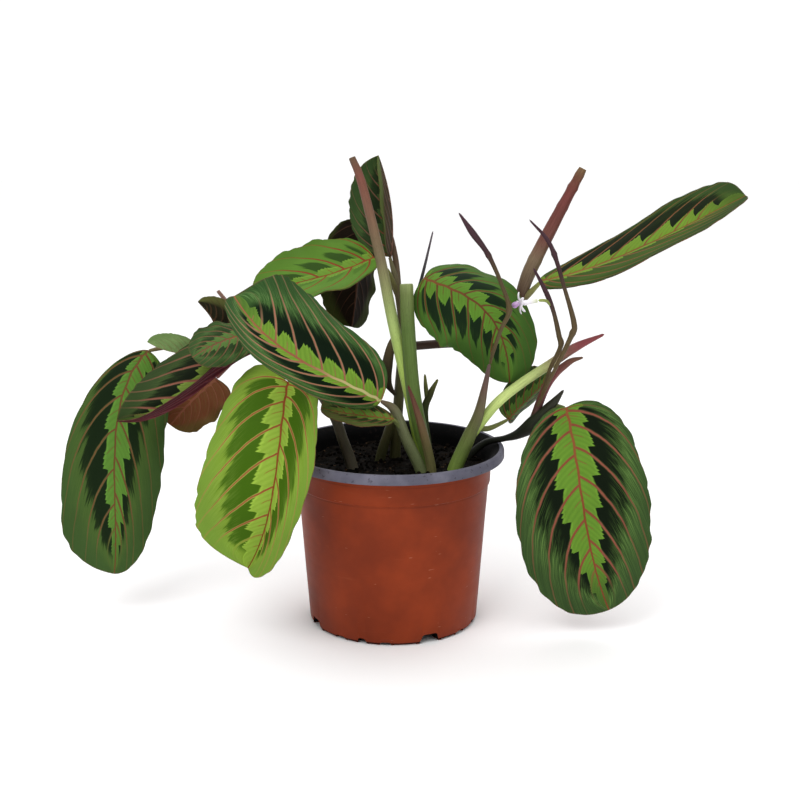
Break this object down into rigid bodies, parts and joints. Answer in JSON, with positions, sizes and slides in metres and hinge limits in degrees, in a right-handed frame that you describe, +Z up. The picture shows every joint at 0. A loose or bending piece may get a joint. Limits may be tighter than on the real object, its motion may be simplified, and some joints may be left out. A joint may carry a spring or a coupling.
{
  "type": "potted prayer plant",
  "caption": "Prayer plant with patterned leaves on bent stalks and small flower stalks, growing in soil in a thin round nursery pot.",
  "frame": {"origin": "middle of the flat disc that the pot stands on", "axes": "+Z up along the pot's axis, -Y towards the front of the plant, +X to the right seen from the front"},
  "size_m": [0.3637, 0.1504, 0.2506],
  "materials": {
    "pot": "matte",
    "soil": "rough",
    "stem_green": "satin",
    "stem_dark": "satin",
    "leaf_dark": "satin",
    "leaf_light": "satin",
    "leaf_under": "satin",
    "flower_stalk": "satin",
    "petals": "matte",
    "lip": "matte",
    "withered": "rough"
  },
  "bodies": {
    "root": {"pot": "pot", "soil": "soil", "shoot_centre": "stem_green", "shoot_right": "stem_green", "shoot_low": "stem_dark", "shoot_left": "stem_dark", "shoot_back": "stem_dark", "leaf_far_left": "leaf_dark", "leaf_front_left": "leaf_light", "leaf_front_centre": "leaf_dark", "leaf_small_front": "leaf_dark", "leaf_upper_left": "leaf_light", "leaf_upright": "leaf_dark", "leaf_back": "leaf_under", "leaf_right_of_centre": "leaf_dark", "leaf_long_right": "leaf_dark", "leaf_low_right": "leaf_dark", "leaf_folded_left": "leaf_dark", "leaf_red_under": "leaf_under", "leaf_curled_dark": "leaf_under", "leaf_wavy_small": "leaf_dark", "leaf_under_stem": "leaf_dark", "leaf_rolled_pale": "leaf_light", "flower_stalk_left": "flower_stalk", "flower_stalk_middle": "flower_stalk", "flower_stalk_right": "flower_stalk", "flower_petals": "petals", "flower_lip": "lip", "dry_sheath": "withered", "dry_fork": "withered"}
  },
  "joints": []
}
